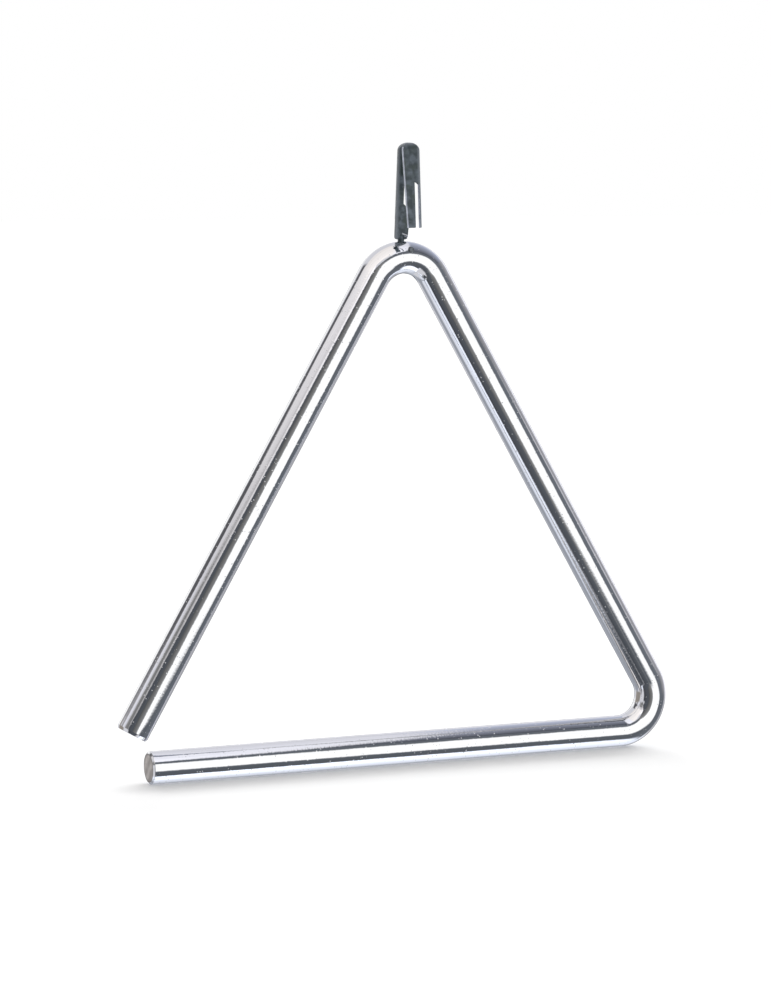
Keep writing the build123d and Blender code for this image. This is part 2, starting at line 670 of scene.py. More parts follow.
@dataclass(frozen=True)
class SatinBlack:
    """Satin slate-black of the hook, with a fine grain, cloudy wear and olive patches.

    Where the places are given, it has a painted highlight along its rims and a painted highlight line above
    the crease.
    """

    name: str = "satin_black"
    deep: Colour = (0.026, 0.042, 0.05)
    worn: Colour = (0.13, 0.158, 0.19)
    olive: Colour = (0.045, 0.066, 0.06)
    metallic: float = 0.0
    cloud_grain: float = 0.0017
    cloud_detail: float = 4
    cloud_shares: Span = (0.38, 0.62)
    olive_grain: float = 0.0026
    olive_shares: Span = (0.48, 0.68)
    # The rim colour is a painted highlight along the hook's rims
    rim_highlight: Colour = (0.2, 0.223, 0.255)
    rim_highlight_width: float = 0.0009
    top_height: float = far_off
    top_half_width: float = far_off
    narrowing_share: float = 0.0
    # The shine is a painted highlight line above the crease
    shine: Colour = (0.7, 0.72, 0.78)
    shine_height: float = far_off
    shine_slope: float = 0.0
    shine_width: float = 0.00022
    shine_back: float = 0.0
    grain: float = 0.00022
    grain_detail: float = 3
    grain_depth: float = 0.000012
    slick_roughness: float = 0.32
    matt_roughness: float = 0.5

    def material(self) -> bpy.types.Material:
        """Makes the material.

        Returns:
            The satin black.
        """
        material, sheet = new_material(self.name)
        place = sheet.add("TexCoord").outputs["Object"]
        cloud = sheet.spread(sheet.noise(place, self.cloud_grain, self.cloud_detail), self.cloud_shares)
        tinged = sheet.spread(sheet.noise(place, self.olive_grain), self.olive_shares)
        grain = sheet.noise(place, self.grain, self.grain_detail)
        slate = sheet.blend(cloud, self.deep, self.worn)
        middle = sheet.blend(tinged, slate, self.olive)
        x, y, z = sheet.add("SeparateXYZ", {0: place}).outputs
        fall = sheet.maths("SUBTRACT", self.top_height, z)
        narrowing = sheet.maths("MULTIPLY", fall, self.narrowing_share)
        half_width = sheet.maths("SUBTRACT", self.top_half_width, narrowing)
        to_side = sheet.maths("SUBTRACT", half_width, sheet.maths("ABSOLUTE", x))
        # Painted highlight: paler along the front leg's right side, the back leg's left side and the fold's
        # top
        on_highlit_half = sheet.maths("LESS_THAN", sheet.maths("MULTIPLY", x, y), 0)
        near_side, near_top = (
            sheet.spread(distance, (0, self.rim_highlight_width), (1, 0), smooth=True) for distance in (to_side, fall)
        )
        at_rim_highlight = sheet.maths("MAXIMUM", sheet.maths("MULTIPLY", near_side, on_highlit_half), near_top)
        # A painted highlight: a bright line slants down across the right half of the back leg's front
        line = sheet.maths("ADD", sheet.maths("MULTIPLY", x, self.shine_slope), self.shine_height)
        off_line = sheet.maths("ABSOLUTE", sheet.maths("SUBTRACT", z, line))
        inside_leg = sheet.maths("MINIMUM", y, sheet.maths("SUBTRACT", self.shine_back, y))
        there = sheet.maths("GREATER_THAN", sheet.maths("MINIMUM", x, inside_leg), 0)
        shines = sheet.maths("MULTIPLY", sheet.spread(off_line, (0, self.shine_width), (1, 0)), there)
        with_rim_highlight = sheet.blend(at_rim_highlight, middle, self.rim_highlight)
        sheet.finish(
            {
                "Base Color": sheet.blend(shines, with_rim_highlight, self.shine),
                "Metallic": self.metallic,
                "Roughness": sheet.spread(cloud, (0, 1), (self.slick_roughness, self.matt_roughness)),
                "Normal": sheet.bump(grain, self.grain_depth),
            }
        )
        return material


@dataclass(frozen=True)
class PinSteel:
    """Dark dull steel of the pin, a little stained."""

    clean: Colour = (0.15, 0.165, 0.185)
    stained: Colour = (0.075, 0.08, 0.085)
    stain_grain: float = 0.0006
    stain_detail: float = 3
    stain_shares: Span = (0.4, 0.7)
    metallic: float = 0.6
    clean_roughness: float = 0.34
    stained_roughness: float = 0.5

    def material(self) -> bpy.types.Material:
        """Makes the material.

        Returns:
            The pin's steel.
        """
        material, sheet = new_material("pin_steel")
        place = sheet.add("TexCoord").outputs["Object"]
        stain = sheet.spread(sheet.noise(place, self.stain_grain, self.stain_detail), self.stain_shares)
        sheet.finish(
            {
                "Base Color": sheet.blend(stain, self.clean, self.stained),
                "Metallic": self.metallic,
                "Roughness": sheet.spread(stain, (0, 1), (self.clean_roughness, self.stained_roughness)),
            }
        )
        return material


@dataclass(frozen=True)
class SwivelFit:
    """The stem and pin sizes that the rod, the hook and the pin share."""

    rod_top: Vector
    stem_radius: float = 0.0008
    stem_length: float = 0.0032
    stem_end_clearance: float = 0.0002
    running_clearance: float = 0.00005
    groove_radius: float = 0.00045
    pin_radius: float = 0.0007
    pin_depth: float = 0.002
    pin_stand: float = 0.0001

    @property
    def pin_centre(self) -> Vector:
        """The middle of the pin's axis, beside the stem's groove."""
        beside = self.groove_radius + self.running_clearance + self.pin_radius
        return self.rod_top + Vector((beside, 0, -self.pin_depth))


@dataclass(frozen=True)
class StraightRun:
    """A straight stretch of the rod's centre line."""

    start: Vector
    way: Vector
    length: float
    steps: int

    def draw(self, sweep: RingSweep) -> None:
        """Draws a ring along the stretch, step by step."""
        for _ in range(self.steps):
            sweep.straight(self.way * self.length / self.steps)

    def locate(self, place: Vector) -> tuple[float, float, Vector]:
        """Finds a place beside the stretch.

        Args:
            place: A place on the rod's surface.

        Returns:
            How far the place lies outside the stretch's length, how far along the stretch it is, and its
            offset from the centre line.
        """
        along = (place - self.start).dot(self.way)
        outside = max(-along, along - self.length, 0)
        return outside, along, place - self.start - self.way * along

    def outward(self, place: Vector) -> Vector:
        """The way out of the triangle, square to the rod."""
        return self.way.cross(back)


@dataclass(frozen=True)
class BendRun:
    """A bend of the rod's centre line."""

    pivot: Vector
    start: Vector
    angle: float
    steps: int

    @property
    def radius(self) -> float:
        """The bend's radius."""
        return (self.start - self.pivot).length

    @property
    def length(self) -> float:
        """The bend's length."""
        return self.radius * self.angle

    def draw(self, sweep: RingSweep) -> None:
        """Draws a ring round the bend."""
        sweep.turn(self.pivot, back, self.angle, self.steps)

    def locate(self, place: Vector) -> tuple[float, float, Vector]:
        """Finds a place beside the bend.

        Args:
            place: A place on the rod's surface.

        Returns:
            How far the place lies outside the bend's length, how far along the bend it is, and its offset
            from the centre line.
        """
        first = (self.start - self.pivot) / self.radius
        way = back.cross(first)
        arm = place - self.pivot
        along = math.atan2(arm.dot(way), arm.dot(first)) * self.radius
        outside = max(-along, along - self.length, 0)
        return outside, along, arm - self.outward(place) * self.radius

    def outward(self, place: Vector) -> Vector:
        """The way out of the triangle, square to the rod."""
        arm = place - self.pivot
        return Vector((arm.x, 0, arm.z)).normalized()


@dataclass
class BentRod:
    """The chromed rod, bent twice, with two sawn ends at the open corner."""

    fit: SwivelFit
    radius: float = 0.004
    side_length: float = 0.15
    bend_radius: float = 0.009
    leg_setback: float = 0.0097
    bar_setback: float = 0.009
    apex_offset: float = 0.0006
    leg_chamfer_length: float = 0.00075
    leg_chamfer_depth: float = 0.00035
    bar_chamfer: float = 0.00045
    rim_round: float = 0.00006
    rim_segments: int = 3
    bevelled_corner: float = 20
    flat_share: float = 0.99
    overrun: float = 0.001
    sides: int = 128
    bend_steps: int = 60
    straight_steps: int = 40
    corner_angle: float = math.radians(60)

    @property
    def leg_end_radius(self) -> float:
        """The radius of the leg's sawn end, inside its chamfer."""
        return self.radius - self.leg_chamfer_depth

    @property
    def bar_end_radius(self) -> float:
        """The radius of the bar's sawn end, inside its chamfer."""
        return self.radius - self.bar_chamfer

    @property
    def up_leg(self) -> Vector:
        """The way up the left leg."""
        return Vector((math.cos(self.corner_angle), 0, math.sin(self.corner_angle)))

    @property
    def down_leg(self) -> Vector:
        """The way down the right leg."""
        return Vector((math.cos(self.corner_angle), 0, -math.sin(self.corner_angle)))

    @property
    def along_bar(self) -> Vector:
        """The way from the right corner to the open one."""
        return Vector((-1, 0, 0))

    @property
    def apex(self) -> Vector:
        """Where the legs' centre lines cross."""
        overshoot = self.bend_radius / math.sin(self.corner_angle / 2) - self.bend_radius
        return self.fit.rod_top + Vector((self.apex_offset, 0, overshoot - self.radius))

    @property
    def right_corner(self) -> Vector:
        """Where the right leg's and the bar's centre lines cross."""
        return self.apex + self.down_leg * self.side_length

    @property
    def leg_end(self) -> Vector:
        """The middle of the left leg's sawn end."""
        return self.apex - self.up_leg * (self.side_length - self.leg_setback)

    @property
    def bar_end(self) -> Vector:
        """The middle of the bar's sawn end."""
        return self.right_corner + self.along_bar * (self.side_length - self.bar_setback)

    def path(self) -> tuple[StraightRun | BendRun, ...]:
        """The rod's centre line, between its end chamfers.

        Returns:
            The straight stretches and bends, in order.
        """
        tangent = self.bend_radius / math.tan(self.corner_angle / 2)
        crossing = self.bend_radius / math.sin(self.corner_angle / 2)
        turn = math.pi - self.corner_angle
        leg_start = self.leg_end + self.up_leg * self.leg_chamfer_length
        bar_stop = self.bar_end - self.along_bar * self.bar_chamfer
        apex_first = self.apex - self.up_leg * tangent
        apex_last = self.apex + self.down_leg * tangent
        right_first = self.right_corner - self.down_leg * tangent
        right_last = self.right_corner + self.along_bar * tangent
        apex_pivot = self.apex - up * crossing
        right_pivot = self.right_corner + (self.along_bar - self.down_leg).normalized() * crossing
        return (
            StraightRun(leg_start, self.up_leg, (apex_first - leg_start).length, self.straight_steps),
            BendRun(apex_pivot, apex_first, turn, self.bend_steps),
            StraightRun(apex_last, self.down_leg, (right_first - apex_last).length, self.straight_steps),
            BendRun(right_pivot, right_first, turn, self.bend_steps),
            StraightRun(right_last, self.along_bar, (bar_stop - right_last).length, self.straight_steps),
        )

    def build(self) -> bpy.types.Object:
        """Sweeps the rod from the leg's end to the bar's end and drills its two holes.

        Returns:
            The rod.
        """
        leg_radius = self.leg_end_radius
        end_turn = (0, self.corner_angle / 2, 0)
        with sweeping("triangle_rod_chrome", self.leg_end, leg_radius, self.sides, end_turn) as sweep:
            sweep.straight(self.up_leg * self.leg_chamfer_length, self.radius / leg_radius)
            for run in self.path():
                run.draw(sweep)
            sweep.straight(self.along_bar * self.bar_chamfer, self.bar_end_radius / self.radius)
            rod = sweep.piece
        round_edges(rod, self.rim_round, self.rim_segments, self.bevelled_corner)
        self.drill(rod)
        smooth_outside(rod, self.bevelled_corner)
        self.note_places(rod)
        return rod

    def drill(self, rod: bpy.types.Object) -> None:
        """Drills the stem's blind hole and the pin's cross hole.

        Args:
            rod: The rod.
        """
        fit = self.fit
        depth = fit.stem_length + fit.stem_end_clearance
        hole_radius = fit.stem_radius + fit.running_clearance
        with sweeping("stem_drill", fit.rod_top - up * depth, hole_radius, self.sides // 2) as sweep:
            sweep.straight(up * (depth + self.overrun))
            stem_drill = sweep.piece
        reach = back * (self.radius + self.overrun)
        start = fit.pin_centre - reach
        with sweeping("pin_drill", start, fit.pin_radius, self.sides // 2, cross_turn) as sweep:
            sweep.straight(2 * reach)
            pin_drill = sweep.piece
        for tool in (stem_drill, pin_drill):
            combine(rod, tool, Cut.REMOVE)

    def note_places(self, rod: bpy.types.Object) -> None:
        """Notes each corner's place on the unbent rod, for finishes that run along it.

        Args:
            rod: The rod.
        """
        path = self.path()
        places = []
        for corner in rod.data.vertices:
            nearest = math.inf
            travelled = 0.0
            for run in path:
                outside, along, offset = run.locate(corner.co)
                distance = math.hypot(outside, offset.length)
                if distance < nearest:
                    nearest = distance
                    place = (offset.y, offset.dot(run.outward(corner.co)), travelled + along)
                travelled += run.length
            places.extend(place)
        notes = rod.data.attributes.new(unbent_place, "FLOAT_VECTOR", "POINT")
        notes.data.foreach_set("vector", places)

    def dress(self, rod: bpy.types.Object) -> None:
        """Chromes the rod, leaves its two ends bare and joins it to its body.

        Args:
            rod: The rod.
        """
        sawn_steel = SawnSteel("sawn_steel", self.bar_end, self.bar_end_radius)
        filed_steel = SawnSteel(
            "filed_steel",
            self.leg_end,
            self.leg_end_radius,
            pale=(0.92, 0.92, 0.93),
            dark=(0.3, 0.29, 0.29),
            end_rim_colour=(0.8, 0.8, 0.81),
            blotch_grain=0.004,
            line_share=0.15,
            metallic=0.9,
            polished_roughness=0.14,
            dull_roughness=0.25,
        )
        coat(rod, ChromePlate(), sawn_steel, filed_steel)
        ends = (
            (RodFinish.BAR_END, self.bar_end, self.along_bar),
            (RodFinish.LEG_END, self.leg_end, -self.up_leg),
        )
        for number, centre, outward in ends:
            for face in rod.data.polygons:
                near = (face.center - centre).length < self.radius
                if near and face.normal.dot(outward) > self.flat_share:
                    face.material_index = number
        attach(rod, Body.TRIANGLE.value)
        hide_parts("triangle_rod")


@dataclass
class HangerHook:
    """The folded black strip with its slotted legs and the stem that turns in the rod."""

    fit: SwivelFit
    thickness: float = 0.00095
    top_width: float = 0.0043
    foot_width: float = 0.0032
    fold_inner_radius: float = 0.0009
    front_foot_height: float = 0.0034
    back_foot_height: float = 0.0004
    front_foot_reach: float = 0.00385
    foot_corner_radius: float = 0.0007
    shoulder_radius: float = 0.002
    slot_width: float = 0.00115
    slot_slant: float = 0.0009
    front_tine_width: float = 0.00036
    front_slot_length: float = 0.0112
    back_strand_width: float = 0.00178
    back_slot_start: float = 0.009
    back_slot_end: float = 0.018
    crease_start_height: float = 0.0016
    crease_end_height: float = 0.0007
    crease_width: float = 0.00026
    crease_depth: float = 0.00022
    stem_root_rise: float = 0.0014
    stem_tip_chamfer: float = 0.0002
    edge_round: float = 0.00013
    bevelled_corner: float = 40
    side_share: float = 0.9
    overrun: float = 0.001
    fold_steps: int = 48
    stem_sides: int = 48
    edge_segments: int = 3
    corner_segments: int = 16

    @property
    def fold_radius(self) -> float:
        """The radius of the strip's middle line round the fold."""
        return self.fold_inner_radius + self.thickness / 2

    @property
    def fold_top(self) -> float:
        """The height of the fold's outside."""
        return self.fold_inner_radius + self.thickness

    @property
    def front_foot(self) -> Vector:
        """The front leg's end, on the strip's middle line."""
        return Vector((0, -self.front_foot_reach, self.fit.rod_top.z + self.front_foot_height))

    @property
    def back_foot(self) -> Vector:
        """The back leg's end, on the strip's middle line."""
        return self.fit.rod_top + up * self.back_foot_height

    @property
    def crease_floor(self) -> float:
        """The Y of the crease's floor, behind the back foot's front face."""
        return self.back_foot.y - self.thickness / 2 + self.crease_depth

    @property
    def crease_reach(self) -> float:
        """How far to the right the crease runs, past the strip's edge."""
        return self.foot_width / 2 + self.overrun

    def half_width(self, height: float) -> float:
        """Half the strip's width at a height, which narrows evenly from the fold to the back foot.

        Args:
            height: The height.

        Returns:
            Half the width there.
        """
        fall_share = (self.fold_top - height) / (self.fold_top - self.back_foot.z)
        return (self.top_width + (self.foot_width - self.top_width) * fall_share) / 2

    def fold_angle(self, foot: Vector, side: int) -> float:
        """Where a straight leg from its foot meets the fold, as an angle from the back, over the top.

        Args:
            foot: The leg's foot, on the strip's middle line.
            side: 1 for the back leg and -1 for the front leg.

        Returns:
            The angle in radians.
        """
        return math.atan2(foot.z, foot.y) + side * math.acos(self.fold_radius / math.hypot(foot.y, foot.z))

    def build(self) -> bpy.types.Object:
        """Folds the strip, trims its outline, cuts its slots, adds the stem and rounds the edges.

        Returns:
            The hook.
        """
        hook = self.folded_strip()
        combine(hook, self.outline(), Cut.KEEP)
        for tool in (self.front_slot(), self.back_slot(), self.foot_crease()):
            combine(hook, tool, Cut.REMOVE)
        combine(hook, self.stem(), Cut.ADD)
        self.paint(hook)
        round_edges(
            hook, self.edge_round, self.edge_segments, self.bevelled_corner, HookFinish.WORN_EDGE
        )
        smooth_outside(hook)
        return hook

    def folded_strip(self) -> bpy.types.Object:
        """Draws the strip's section up the back leg, over the fold and down the front leg.

        Returns:
            The strip, wider than it ends up.
        """
        back_angle = self.fold_angle(self.back_foot, 1)
        front_angle = self.fold_angle(self.front_foot, -1)
        if front_angle < back_angle:
            front_angle += math.tau
        back_tangent = self.fold_radius * Vector((0, math.cos(back_angle), math.sin(back_angle)))
        front_tangent = self.fold_radius * Vector((0, math.cos(front_angle), math.sin(front_angle)))
        clear_selection()
        bpy.ops.mesh.primitive_plane_add(size=1, location=self.back_foot, rotation=(back_angle, 0, 0))
        bpy.context.object.scale = (2 * self.top_width, self.thickness, 1)
        strip = start_piece("hanger_hook_strip")
        with editing(strip):
            bpy.ops.mesh.select_all(action="SELECT")
            bpy.ops.mesh.delete(type="ONLY_FACE")
            bpy.ops.mesh.select_all(action="SELECT")
            sweep = RingSweep(strip, self.back_foot)
            sweep.straight(back_tangent - self.back_foot)
            sweep.turn(Vector(), right, front_angle - back_angle, self.fold_steps)
            sweep.straight(self.front_foot - front_tangent)
            sweep.close()
        smooth_outside(strip)
        return strip

    def outline(self) -> bpy.types.Object:
        """Makes the strip's front view, with narrowing sides, round shoulders and a round foot.

        Returns:
            The outline as a prism through both legs.
        """
        foot_z = self.back_foot.z
        top = self.half_width(self.fold_top)
        foot = self.half_width(foot_z)
        reach = self.fit.rod_top.y + self.top_width
        corners = ((-top, self.fold_top), (-foot, foot_z), (foot, foot_z), (top, self.fold_top))
        tool = prism("outline", corners, -reach, reach)
        for height, radius in ((self.fold_top, self.shoulder_radius), (foot_z, self.foot_corner_radius)):

            def is_corner(edge: bmesh.types.BMEdge, height: float = height) -> bool:
                """Whether an edge runs from front to back at the height."""
                first, last = (corner.co for corner in edge.verts)
                return abs(first.y - last.y) > reach and abs(first.z - height) < self.overrun

            with editing(tool) as mesh:
                select_where(tool, mesh, Element.EDGES, is_corner)
                bpy.ops.mesh.bevel(offset=radius, segments=self.corner_segments, affect="EDGES")
        return tool

    def front_slot(self) -> bpy.types.Object:
        """Makes the front leg's slot, open at the leg's end, along the strip's right side.

        Returns:
            The slot as a prism.
        """
        low = self.front_foot.z - self.overrun
        high = self.front_foot.z + self.front_slot_length
        low_x = self.half_width(low) - self.front_tine_width
        high_x = self.half_width(high) - self.front_tine_width
        corners = (
            (low_x - self.slot_width, low),
            (low_x, low),
            (high_x, high - self.slot_slant),
            (high_x - self.slot_width, high),
        )
        return prism("front_slot", corners, -self.front_foot_reach - self.thickness - self.overrun, 0)

    def back_slot(self) -> bpy.types.Object:
        """Makes the back leg's slot, closed at both ends, along the strip's left side.

        Returns:
            The slot as a prism.
        """
        low = self.fit.rod_top.z + self.back_slot_start
        high = self.fit.rod_top.z + self.back_slot_end
        low_x = self.back_strand_width - self.half_width(low)
        high_x = self.back_strand_width - self.half_width(high)
        corners = (
            (low_x, low),
            (low_x + self.slot_width, low - self.slot_slant),
            (high_x + self.slot_width, high - self.slot_slant),
            (high_x, high),
        )
        return prism("back_slot", corners, 0, self.fit.rod_top.y + self.thickness + self.overrun)

    def foot_crease(self) -> bpy.types.Object:
        """Makes the slanting crease across the right half of the back leg's foot, in its front.

        Returns:
            The crease as a thin prism.
        """
        start_z = self.fit.rod_top.z + self.crease_start_height
        end_z = self.fit.rod_top.z + self.crease_end_height
        corners = (
            (0, start_z),
            (0, start_z - self.crease_width),
            (self.crease_reach, end_z - self.crease_width),
            (self.crease_reach, end_z),
        )
        return prism("foot_crease", corners, self.crease_floor - 2 * self.overrun, self.crease_floor)

    def stem(self) -> bpy.types.Object:
        """Turns the stem, with a chamfered tip and the groove that the pin runs in.

        Returns:
            The stem.
        """
        fit = self.fit
        groove_half = fit.pin_radius + fit.running_clearance
        groove_share = fit.groove_radius / fit.stem_radius
        tip_radius = fit.stem_radius - self.stem_tip_chamfer
        shank_run = fit.stem_length - self.stem_tip_chamfer - fit.pin_depth - groove_half
        upper_run = fit.pin_depth - groove_half + self.back_foot_height + self.stem_root_rise
        with sweeping("stem", fit.rod_top - up * fit.stem_length, tip_radius, self.stem_sides) as sweep:
            sweep.straight(up * self.stem_tip_chamfer, fit.stem_radius / tip_radius)
            sweep.straight(up * shank_run)
            sweep.straight(up * 0, groove_share)
            sweep.straight(up * 2 * groove_half)
            sweep.straight(up * 0, 1 / groove_share)
            sweep.straight(up * upper_run)
            stem = sweep.piece
        return stem

    def paint(self, hook: bpy.types.Object) -> None:
        """Gives the hook its finishes: black, a paler one with a painted highlight for edges and a brighter
        painted highlight for the front leg's cut sides.

        Args:
            hook: The hook.
        """
        # A paler, part-metallic black on the edges and the back leg's sides, as a painted highlight
        worn_edge = SatinBlack(
            name="worn_edge",
            deep=(0.12, 0.138, 0.16),
            worn=(0.24, 0.262, 0.295),
            olive=(0.15, 0.165, 0.17),
            metallic=0.3,
        )
        # A bright bluish finish as a painted highlight on the front leg's cut sides and the crease floor
        bare_side = SatinBlack(
            name="bare_side",
            deep=(0.34, 0.37, 0.45),
            worn=(0.6, 0.64, 0.75),
            olive=(0.4, 0.43, 0.5),
            metallic=0.3,
        )
        top_half = self.half_width(self.fold_top)
        narrowing = (top_half - self.half_width(0)) / self.fold_top
        crease_fall = self.crease_start_height - self.crease_end_height
        black = SatinBlack(
            top_height=self.fold_top,
            top_half_width=top_half,
            narrowing_share=narrowing,
            shine_height=self.fit.rod_top.z + self.crease_start_height + self.crease_width,
            shine_slope=-crease_fall / self.crease_reach,
            shine_back=self.back_foot.y,
        )
        coat(hook, black, worn_edge, bare_side)

    def dress(self, hook: bpy.types.Object) -> None:
        """Gives the front leg's cut sides and the crease a painted highlight, and joins the hook to its
        body.

        Args:
            hook: The hook.
        """
        # The crease floor and the front leg's cut sides get the painted highlight; the back leg's sides get
        # the paler edge highlight
        for face in hook.data.polygons:
            to_crease = abs(face.center.y - self.crease_floor)
            if to_crease < self.edge_round and face.normal.y < -self.side_share:
                face.material_index = HookFinish.BARE_SIDE
            elif face.material_index == HookFinish.BLACK and abs(face.normal.x) > self.side_share:
                in_front = face.center.y < 0
                face.material_index = HookFinish.BARE_SIDE if in_front else HookFinish.WORN_EDGE
        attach(hook, Body.HANGER.value)
        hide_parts("hanger_hook")


@dataclass
class RetainingPin:
    """The pressed cross pin that runs in the stem's groove."""

    fit: SwivelFit
    rod_radius: float
    chamfer: float = 0.00012
    edge_round: float = 0.00004
    edge_segments: int = 3
    sides: int = 64

    def build(self) -> bpy.types.Object:
        """Turns the pin, with a chamfer at each end.

        Returns:
            The pin.
        """
        lower_side = self.rod_radius - self.fit.pin_depth - self.fit.pin_radius
        reach = math.sqrt(self.rod_radius**2 - lower_side**2) + self.fit.pin_stand
        end_radius = self.fit.pin_radius - self.chamfer
        widen = self.fit.pin_radius / end_radius
        start = self.fit.pin_centre - back * reach
        with sweeping("retaining_pin_steel", start, end_radius, self.sides, cross_turn) as sweep:
            sweep.straight(back * self.chamfer, widen)
            sweep.straight(back * 2 * (reach - self.chamfer))
            sweep.straight(back * self.chamfer, 1 / widen)
            pin = sweep.piece
        round_edges(pin, self.edge_round, self.edge_segments)
        smooth_outside(pin)
        return pin

    def dress(self, pin: bpy.types.Object) -> None:
        """Gives the pin its steel and joins it to its body.

        Args:
            pin: The pin.
        """
        coat(pin, PinSteel())
        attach(pin, Body.TRIANGLE.value)
        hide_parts("retaining_pin")


def look_from(azimuth: float, elevation: float) -> Vector:
    """The direction towards a place round the object.

    Args:
        azimuth: Degrees from the front, positive to the right.
        elevation: Degrees above level.

    Returns:
        The direction, of length 1.
    """
    side = math.radians(azimuth)
    rise = math.radians(elevation)
    return Vector((math.sin(side) * math.cos(rise), -math.cos(side) * math.cos(rise), math.sin(rise)))


@dataclass(frozen=True)
class DomePatch:
    """A soft-edged patch of the dome that the chrome mirrors: a lamp, a wall or a stretch of floor.

    Attributes:
        name: What it stands for, which labels its node.
        across: Where it starts and ends, by its chart's first measure.
        upwards: Where it starts and ends, by its chart's second measure.
        levels: How bright it is where its fade starts and ends.
        softness: Half the width of its soft edge, in its chart's measures.
        tint: Its colour cast.
        chart: How its place is measured.
        fade: Which way its level changes.
        tilt: How far it rises for each step across.
        bow: How far it bends down at its two sides.
    """

    name: str
    across: Span
    upwards: Span
    levels: Span
    softness: float
    tint: Tint = Tint.NEUTRAL
    chart: Chart = Chart.WALL
    fade: Fade = Fade.ACROSS
    tilt: float = 0
    bow: float = 0

    def paint(
        self, sheet: NodeSheet, charts: Mapping[Chart, tuple[Socket, Socket]], below: Socket | Colour
    ) -> Socket:
        """Lays the patch over what the dome shows so far.

        Args:
            sheet: The dome's node sheet.
            charts: The two coordinates of each chart.
            below: The dome's colour so far.

        Returns:
            The dome's colour with the patch.
        """
        across, upwards = charts[self.chart]
        half_across = (self.across[1] - self.across[0]) / 2
        half_upwards = (self.upwards[1] - self.upwards[0]) / 2
        beside = sheet.maths("SUBTRACT", across, self.across[0] + half_across)
        beside = sheet.maths("WRAP", beside, half_turn, -half_turn)
        above = sheet.maths("SUBTRACT", upwards, self.upwards[0] + half_upwards)
        if self.tilt:
            above = sheet.maths("SUBTRACT", above, sheet.maths("MULTIPLY", beside, self.tilt))
        if self.bow:
            squared = sheet.maths("POWER", sheet.maths("DIVIDE", beside, half_across), 2)
            above = sheet.maths("ADD", above, sheet.maths("MULTIPLY", squared, self.bow))
        inside = sheet.maths(
            "MULTIPLY", self.within(sheet, beside, half_across), self.within(sheet, above, half_upwards)
        )
        if self.fade is Fade.ACROSS:
            change = sheet.spread(beside, (-half_across, half_across))
        else:
            change = sheet.spread(above, (-half_upwards, half_upwards))
        first, last = (tuple(level * share for share in self.tint.value) for level in self.levels)
        result = sheet.blend(inside, below, sheet.blend(change, first, last))
        result.node.label = self.name
        return result

    def within(self, sheet: NodeSheet, distance: Socket, half: float) -> Socket:
        """Says how far a place is inside the patch, along one coordinate.

        Args:
            sheet: The dome's node sheet.
            distance: How far the place is from the patch's middle.
            half: Half the patch's size.

        Returns:
            1 inside, 0 outside, and between them over the softness.
        """
        edge = (half - self.softness, half + self.softness)
        return sheet.spread(sheet.maths("ABSOLUTE", distance), edge, (1, 0), smooth=True)


